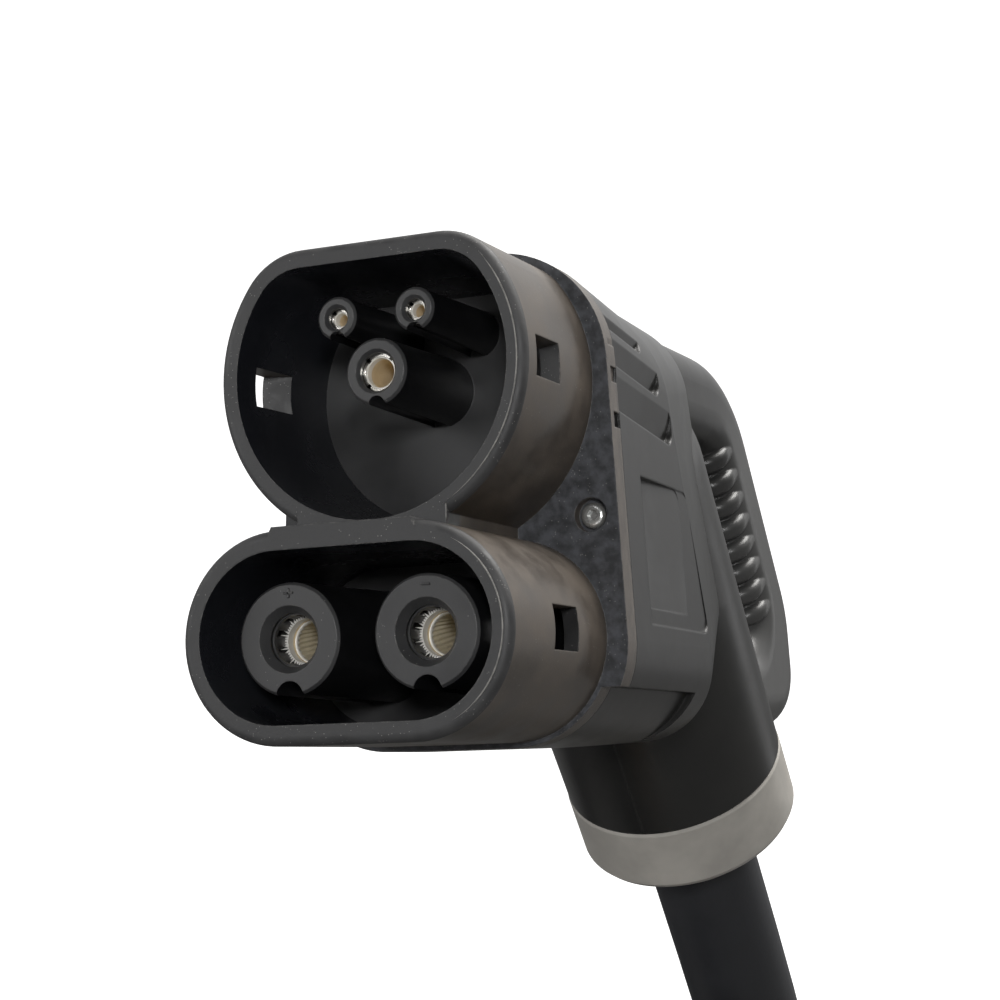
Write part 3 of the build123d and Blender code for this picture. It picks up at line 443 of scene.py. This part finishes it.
for piece in ("ac_retainer", "dc_retainer", "gland_claw", "clamp_upper", "clamp_lower"):
    dress(piece, sleeve_plastic)
for piece in ("housing_left", "housing_right"):
    dress(piece, housing_skin)
for piece in ("clamp_screws", "flange_screws", "housing_screws"):
    dress(piece, bright_steel)
dress("gland_nut", nut_grey)
dress("gland_seal", seal_rubber)
dress("tail_boot", seal_rubber)
dress("earth_lead", core_colours["earth"])
dress("dc_plus_lead", core_colours["plus"])
dress("dc_minus_lead", core_colours["minus"])
dress("control_pilot_lead", core_colours["pilot"])
dress("proximity_lead", core_colours["proximity"])
dress("temperature_sensors", bead_glaze)
dress("coding_board", board_green)
dress("tail_cores", *core_colours.values(), choose=tail_core)
dress("tail_lugs", silver_plate)


# ------------------------------------------------------------------ modelled details
def add_piece(name, mesh, material, smooth=True):
    """A finished bmesh as an object that rides the plug."""
    bmesh.ops.recalc_face_normals(mesh, faces=mesh.faces)
    data = bpy.data.meshes.new(name)
    mesh.to_mesh(data)
    mesh.free()
    data.polygons.foreach_set("use_smooth", [smooth] * len(data.polygons))
    data.materials.append(material)
    piece = bpy.data.objects.new(name, data)
    bpy.context.scene.collection.objects.link(piece)
    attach(piece, "root")
    return piece


def skin_rows(mesh, rows):
    """Faces between neighbouring closed rows of points."""
    for first, second in zip(rows, rows[1:]):
        for index in range(len(first)):
            following = (index + 1) % len(first)
            mesh.faces.new((first[index], first[following], second[following], second[index]))


def lined_bore(name, rings, around, material):
    """A lining skinned between rings, closed at its back end."""
    mesh = bmesh.new()
    rows = [[mesh.verts.new(ring(index / around)) for index in range(around)] for ring in rings]
    skin_rows(mesh, rows)
    mesh.faces.new(rows[-1])
    add_piece(name, mesh, material)


def bore_ring(x, z, y, radius, ridges=0, ridge=0.0, twist=0.0):
    """A round or ridged ring in a bore: gives the place of a point from its share of a turn."""
    def place(share):
        turn = 2 * math.pi * share
        reach = radius - ridge * (0.5 + 0.5 * math.cos(ridges * turn + twist))
        return Vector((x + reach * math.cos(turn), y, z + reach * math.sin(turn)))
    return place


# outlines of the linings as (depth, inset from the bore), in millimetres
LINING_FRONT = 5.1
LINING_LIP = ((0.16, 0.0), (0.04, 0.05), (0.0, 0.14), (0.05, 0.22), (0.2, 0.26))
LINING_GAP = 0.03
LINING_SIDES = 56
LINING_STEPS = 8
LOUVRE_LIP = ((3.1, 0.05), (3.0, 0.15), (3.05, 0.3), (3.3, 0.4), (3.9, 0.42))
LOUVRE_TAIL = ((16.6, 0.4), (22.0, 0.4), (30.2, 0.4))
LOUVRE_FRONT = 4.05
LOUVRE_STEP = 0.5
LOUVRE_STEPS = 25
LOUVRE_GAP = 0.12
LOUVRE_HEIGHT = 0.34
LOUVRE_LEAN = 0.62                   # turn of the ridges' wave at each step
LOUVRES = 26
LOUVRE_SIDES = 8                     # points across one louvre


def make_bore_lining(name, x, z, radius, back):
    """The smooth plated wall inside a small contact, with a closed end and a rolled mouth."""
    lip_depth, lip_inset = LINING_LIP[-1]
    profile = [(LINING_FRONT + depth, inset) for depth, inset in LINING_LIP]
    profile += [(LINING_FRONT + lip_depth + (back - LINING_FRONT) * step / LINING_STEPS, lip_inset)
                for step in range(1, LINING_STEPS + 1)]
    rings = [bore_ring(x, z, y * MM, radius - (LINING_GAP + inset) * MM) for y, inset in profile]
    lined_bore(name, rings, LINING_SIDES, small_lining)


def make_louvres(name, x):
    """The leaning spring louvres that line a power contact, behind a bright smooth lip."""
    rings = [bore_ring(x, SLOT_Z, y * MM, POWER_BORE - inset * MM) for y, inset in LOUVRE_LIP]
    for step in range(LOUVRE_STEPS):
        y = LOUVRE_FRONT + step * LOUVRE_STEP
        rings.append(bore_ring(x, SLOT_Z, y * MM, POWER_BORE - LOUVRE_GAP * MM, LOUVRES,
                               LOUVRE_HEIGHT * MM, step * LOUVRE_LEAN))
    rings += [bore_ring(x, SLOT_Z, y * MM, POWER_BORE - inset * MM) for y, inset in LOUVRE_TAIL]
    lined_bore(name, rings, LOUVRES * LOUVRE_SIDES, louvre_gold)


def sweep_line(mesh, points, radius, around=8):
    """A thin round line through points, tapered to nothing at both ends."""
    rows = []
    last = len(points) - 1
    for index, point in enumerate(points):
        along = (points[min(index + 1, last)] - points[max(index - 1, 0)]).normalized()
        side = along.cross(Vector((0, 1, 0))).normalized()
        up = along.cross(side)
        reach = radius * min(1.0, 0.15 + 6.0 * min(index, last - index) / last)
        ring = []
        for step in range(around):
            turn = 2 * math.pi * step / around
            ring.append(mesh.verts.new(point + side * reach * math.cos(turn) + up * reach * math.sin(turn)))
        rows.append(ring)
    skin_rows(mesh, rows)
    mesh.faces.new(rows[0])
    mesh.faces.new(rows[-1])


def arc_points(x, z, y, radius, start, stop, count=48):
    """Points on a circle round a front-facing axis, from one angle to another in degrees."""
    turns = (math.radians(start + (stop - start) * index / count) for index in range(count + 1))
    return [Vector((x + radius * math.cos(turn), y, z + radius * math.sin(turn))) for turn in turns]


HIGHLIGHT_LINE = 0.15 * MM
HIGHLIGHT_CORNER = 0.14 * MM
PROUD = 0.02 * MM                    # how far the lines' middles stand before the faces
UPPER_HIGHLIGHT_END = -61                  # where the painted highlight lines end, in degrees
LOWER_HIGHLIGHT = (62, -64)
CORNER_TOP = -25.8                   # of the bridge's highlighted corner, in millimetres
CORNER_STEP = 0.45
CORNER_POINTS = 8


def make_edge_highlights():
    """Thin pale lines on the moulding's parting edge, on its lit right side only: painted highlights."""
    mesh = bmesh.new()
    upper_start = math.degrees(math.asin(UPPER_EDGE_TOP / UPPER_EDGE)) - 9
    sweep_line(mesh, arc_points(0, 0, -PROUD, UPPER_EDGE, upper_start, UPPER_HIGHLIGHT_END), HIGHLIGHT_LINE)
    sweep_line(mesh, arc_points(SLOT_HALF, SLOT_Z, SLOT_FRONT - PROUD, LOWER_EDGE, *LOWER_HIGHLIGHT), HIGHLIGHT_LINE)
    heights = (CORNER_TOP - CORNER_STEP * step for step in range(CORNER_POINTS))
    sweep_line(mesh, [Vector((BRIDGE_HALF, 0, height * MM)) for height in heights], HIGHLIGHT_CORNER)
    add_piece("edge_highlight_lines", mesh, painted_edge_highlight)


def bevelled_bar(mesh, centre, size, lip):
    """A raised bar on a front face, its upper edges chamfered."""
    made = bmesh.ops.create_cube(mesh, size=1.0)["verts"]
    for vert in made:
        shrink = lip if vert.co.y < 0 else 0.0
        reach = Vector((size[0] - 2 * shrink, size[1], size[2] - 2 * shrink))
        vert.co = centre + Vector((vert.co.x * reach.x, vert.co.y * reach.y, vert.co.z * reach.z))


MARK_LONG = 1.9
MARK_WIDE = 0.5
MARK_DEEP = 0.3
MARK_LIP = 0.1
MARK_UP = 8.35                       # from the contact's axis


def make_pole_mark(name, x, plus):
    """A raised plus or minus sign at the top of a power sleeve's front face."""
    mesh = bmesh.new()
    centre = Vector((x, POWER_TIP - 0.08 * MM, SLOT_Z + MARK_UP * MM))
    bevelled_bar(mesh, centre, Vector((MARK_LONG, MARK_DEEP, MARK_WIDE)) * MM, MARK_LIP * MM)
    if plus:
        bevelled_bar(mesh, centre, Vector((MARK_WIDE, MARK_DEEP, MARK_LONG)) * MM, MARK_LIP * MM)
    add_piece(name, mesh, sleeve_plastic, smooth=False)


make_bore_lining("earth_lining", 0, 0, EARTH_BORE, 28.5)
make_bore_lining("control_pilot_lining", -SIGNAL_X, SIGNAL_Z, SIGNAL_BORE, 24.5)
make_bore_lining("proximity_lining", SIGNAL_X, SIGNAL_Z, SIGNAL_BORE, 24.5)
make_louvres("dc_plus_louvres", -POWER_X)
make_louvres("dc_minus_louvres", POWER_X)
make_pole_mark("plus_mark", -POWER_X, True)
make_pole_mark("minus_mark", POWER_X, False)
make_edge_highlights()


# ------------------------------------------------------------------ the cable
FREE_ROUTE = [(-8.8, 249.5, -170.7), (-30.0, 294.0, -193.0), (-63.1, 332.3, -203.8),
              (-105.1, 359.2, -205.7)]
TOUCH_ANGLE = 74                     # degrees round the coil where the free run meets the top turn
TAIL_ANGLE = 1710                    # degrees where the last turn runs out straight
POINT_STEP = 12
TAIL_RUN = 122.0
TURN_CHANGES = ((355, OUTER_UPPER), (665, INNER_UPPER), (975, INNER_LOWER), (1285, OUTER_LOWER))
CHANGE_SPAN = 40
TIE_ANGLE = 205
TIE_GAP = 0.5
TIE_THICK = 1.4
TIE_HALF = 9.0                       # half the strap's width
TIE_EDGE = 0.5                       # how far its outer corners are drawn in


def turn_place(angle):
    """(radius, height) of the coil's line at an angle, eased where it moves to the next place."""
    radius, height = TOP_TURN
    for start, (next_radius, next_height) in TURN_CHANGES:
        share = min(max((angle - start) / CHANGE_SPAN, 0.0), 1.0)
        share = share * share * (3 - 2 * share)
        radius += (next_radius - radius) * share
        height += (next_height - height) * share
    return radius, height


def cable_route():
    """Control points of the whole cable, from inside the gland to the tail's boot."""
    points = [neck_place(-26.0), neck_place(80.0)]
    points += [Vector(point) * MM for point in FREE_ROUTE]
    for angle in range(TOUCH_ANGLE, TAIL_ANGLE + 1, POINT_STEP):
        radius, height = turn_place(angle)
        turn = math.radians(angle)
        place = COIL_CENTRE + Vector((math.cos(turn) * radius, math.sin(turn) * radius, height)) * MM
        points.append(Vector((place.x, place.y, place.z + REST_Z)))
    end = COIL_CENTRE + Vector((0, -OUTER_LOWER[0], OUTER_LOWER[1])) * MM
    for run in (20.0, 60.0, TAIL_RUN):
        points.append(Vector((end.x + run * MM, end.y, end.z + REST_Z)))
    return points


def hull(points):
    """The convex outline of flat points, in order."""
    ordered = sorted(set(points))

    def half(path):
        kept = []
        for point in path:
            while len(kept) > 1 and ((kept[-1][0] - kept[-2][0]) * (point[1] - kept[-2][1])
                                     - (kept[-1][1] - kept[-2][1]) * (point[0] - kept[-2][0])) <= 0:
                kept.pop()
            kept.append(point)
        return kept[:-1]

    return half(ordered) + half(ordered[::-1])


def make_tie():
    """A fabric strap drawn round the coil's turns at one place, with its free end lapped over."""
    turns = (OUTER_UPPER, INNER_UPPER, INNER_LOWER, OUTER_LOWER, TOP_TURN)

    def loop(layers):
        gap = TIE_GAP + layers * TIE_THICK
        reach = CABLE / 2 / MM + gap
        return hull([(round(radius + reach * math.cos(math.radians(angle)), 4),
                      round(height + reach * math.sin(math.radians(angle)), 4))
                     for radius, height in turns for angle in range(0, 360, 10)])

    turn = math.radians(TIE_ANGLE)
    out, across = Vector((math.cos(turn), math.sin(turn), 0)), Vector((-math.sin(turn), math.cos(turn), 0))
    mesh = bmesh.new()
    inner, outer, lap = loop(0), loop(1), loop(2)

    def strip(first, second, closed):
        rows = []
        for near, far in zip(first, second):
            section = [(near, -TIE_HALF), (far, TIE_EDGE - TIE_HALF),
                       (far, TIE_HALF - TIE_EDGE), (near, TIE_HALF)]
            row = []
            for (radius, height), side in section:
                place = COIL_CENTRE + (out * radius + across * side) * MM
                row.append(mesh.verts.new(place + Vector((0, 0, REST_Z + height * MM))))
            rows.append(row)
        skin_rows(mesh, rows + rows[:1] if closed else rows)
        if not closed:
            mesh.faces.new(rows[0])
            mesh.faces.new(rows[-1])

    strip(inner, outer, True)
    start = len(inner) // 3
    end = start + len(inner) // 4
    strip(outer[start:end], lap[start:end], False)
    return add_piece("coil_tie", mesh, tie_fabric, smooth=False)


def make_cable():
    points = cable_route()
    curve = bpy.data.curves.new("charging_cable", "CURVE")
    curve.dimensions = "3D"
    curve.bevel_depth = CABLE / 2
    curve.bevel_resolution = 7
    curve.resolution_u = 6
    curve.use_fill_caps = True
    spline = curve.splines.new("NURBS")
    spline.points.add(len(points) - 1)
    for point, place in zip(spline.points, points):
        point.co = (*place, 1.0)
    spline.order_u = 3
    spline.use_endpoint_u = True
    curve.materials.append(cable_sheath)
    cable = bpy.data.objects.new("charging_cable", curve)
    bpy.context.scene.collection.objects.link(cable)
    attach(cable, "root")
    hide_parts("cable", "cable_coil")
    tail = [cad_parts[name] for name in ("tail_boot", "tail_cores", "tail_lugs")] + [make_tie()]
    return cable


make_cable()


# ------------------------------------------------------------------ stage, lights, camera
def make_stage():
    """A round pale floor that curves up into a wall; far from the plug it glows to plain white."""
    profile = [(FLOOR_RADIUS * step / 3, 0.0) for step in (1, 2, 3)]
    for step in range(1, WALL_STEPS + 1):
        turn = math.radians(90 * step / WALL_STEPS)
        profile.append((FLOOR_RADIUS + WALL_BEND * math.sin(turn), WALL_BEND * (1 - math.cos(turn))))
    profile.append((FLOOR_RADIUS + WALL_BEND, WALL_TOP))
    mesh = bmesh.new()
    rings = []
    for radius, height in profile:
        ring = []
        for index in range(STAGE_SIDES):
            turn = 2 * math.pi * index / STAGE_SIDES
            ring.append(mesh.verts.new((radius * math.cos(turn), radius * math.sin(turn), REST_Z + height)))
        rings.append(ring)
    centre = mesh.verts.new((0, 0, REST_Z))
    for index in range(STAGE_SIDES):
        following = (index + 1) % STAGE_SIDES
        mesh.faces.new((centre, rings[0][index], rings[0][following]))
        for low, high in zip(rings, rings[1:]):
            mesh.faces.new((low[index], high[index], high[following], low[following]))
    data = bpy.data.meshes.new("pale_floor")
    mesh.to_mesh(data)
    mesh.free()
    data.polygons.foreach_set("use_smooth", [True] * len(data.polygons))
    floor = bpy.data.objects.new("pale_floor", data)
    bpy.context.scene.collection.objects.link(floor)
    material, tree, shader = finish_shell("pale_floor", Roughness=0.85)
    shader.inputs["Emission Color"].default_value = rgb(1.0, 1.0, 1.0)
    place = put(tree, "ShaderNodeTexCoord").outputs["Object"]
    flat = put(tree, "ShaderNodeVectorMath", {0: place, 1: (1, 1, 0)}, operation="MULTIPLY").outputs[0]
    away = put(tree, "ShaderNodeVectorMath", {0: flat}, operation="LENGTH").outputs["Value"]
    ring = ramp(tree, away, *GLOW_RING)
    seen = put(tree, "ShaderNodeLightPath").outputs["Is Camera Ray"]
    tree.links.new(blend_colours(tree, seen, BOUNCE_TONE, STAGE_TONE), shader.inputs["Base Color"])
    axes = put(tree, "ShaderNodeSeparateXYZ", {0: place}).outputs
    lift = ramp(tree, axes[2], *GLOW_RISE)
    glow = calc(tree, "MULTIPLY", lift, ramp(tree, axes[1], GLOW_FRONT, GLOW_BACK, DIM_GLOW, STAGE_GLOW))
    level = put(tree, "ShaderNodeMix", {0: seen, 2: glow, 3: SEEN_GLOW}, data_type="FLOAT").outputs[0]
    tree.links.new(calc(tree, "MULTIPLY", ring, level), shader.inputs["Emission Strength"])
    data.materials.append(material)


def soft_box(name, place, target, width, height, power, colour=(1, 1, 1)):
    data = bpy.data.lights.new(name, "AREA")
    data.shape = "RECTANGLE"
    data.size = width
    data.size_y = height
    data.energy = power
    data.color = colour
    light = bpy.data.objects.new(name, data)
    light.location = place
    light.rotation_euler = (Vector(target) - Vector(place)).to_track_quat("-Z", "Y").to_euler()
    bpy.context.scene.collection.objects.link(light)
    return light


FLOOR_RADIUS = 1.8
WALL_BEND = 0.9                      # radius of the curve between floor and wall
WALL_STEPS = 12
WALL_TOP = 3.2
STAGE_SIDES = 72
GLOW_RING = (0.8, 1.7)               # the glow sets in between these distances from the plug
SEEN_GLOW = 0.95                     # what the camera sees of it
STAGE_TONE = rgb(0.80, 0.80, 0.79)
BOUNCE_TONE = rgb(0.12, 0.12, 0.12)  # what little the floor throws back on the plug
GLOW_RISE = (0.0, 1.4, 0.12, 1.0)    # the wall brightens from its foot up
STAGE_GLOW = 0.85                    # of the studio's wall behind the plug
DIM_GLOW = 0.03                      # and of its wall in front
GLOW_FRONT = -0.9
GLOW_BACK = 0.9
WORLD_LIGHT = 0.11

make_stage()
soft_box("overhead", (0.45, 0.35, 1.15), (0.02, 0.06, -0.02), 0.9, 0.9, 31.0, (1.0, 0.98, 0.95))
soft_box("front_lamp", (0.45, -0.95, 0.07), (0.0, 0.0, -0.02), 0.16, 0.16, 5.6)
soft_box("left_fill", (-0.9, -0.8, 0.25), (0.0, 0.0, -0.03), 0.8, 0.8, 6.0)
soft_box("back_strip", (0.65, 1.42, 0.16), (0.03, 0.06, -0.03), 0.22, 1.0, 0.8)

world = bpy.data.worlds.new("studio")
bpy.context.scene.world = world
world.use_nodes = True
world.node_tree.nodes["Background"].inputs[0].default_value = rgb(1.0, 1.0, 1.0)
world.node_tree.nodes["Background"].inputs[1].default_value = WORLD_LIGHT

bpy.context.scene.view_settings.view_transform = "Standard"


CAMERA_TURN = (24.4, -7.2, -1.5)     # azimuth, elevation and roll in degrees
CAMERA_TARGET = Vector((25.83, 0, -26.2)) * MM
CAMERA_AWAY = 0.388
CAMERA_LENS = 79.2
CAMERA_SENSOR = 36.0


def make_camera():
    azimuth, elevation, roll = (math.radians(angle) for angle in CAMERA_TURN)
    back = Vector((math.sin(azimuth) * math.cos(elevation), -math.cos(azimuth) * math.cos(elevation),
                   math.sin(elevation)))
    level = Vector((math.cos(azimuth), math.sin(azimuth), 0))
    up = back.cross(level)
    right = level * math.cos(roll) + up * math.sin(roll)
    up = up * math.cos(roll) - level * math.sin(roll)
    place = CAMERA_TARGET + back * CAMERA_AWAY
    data = bpy.data.cameras.new("camera")
    data.sensor_width = CAMERA_SENSOR
    data.lens = CAMERA_LENS
    data.clip_start = 0.01
    data.clip_end = 20.0
    camera = bpy.data.objects.new("camera", data)
    turned = Matrix((right, up, back)).transposed().to_4x4()
    camera.matrix_world = Matrix.Translation(place) @ turned
    bpy.context.scene.collection.objects.link(camera)
    bpy.context.scene.camera = camera


make_camera()
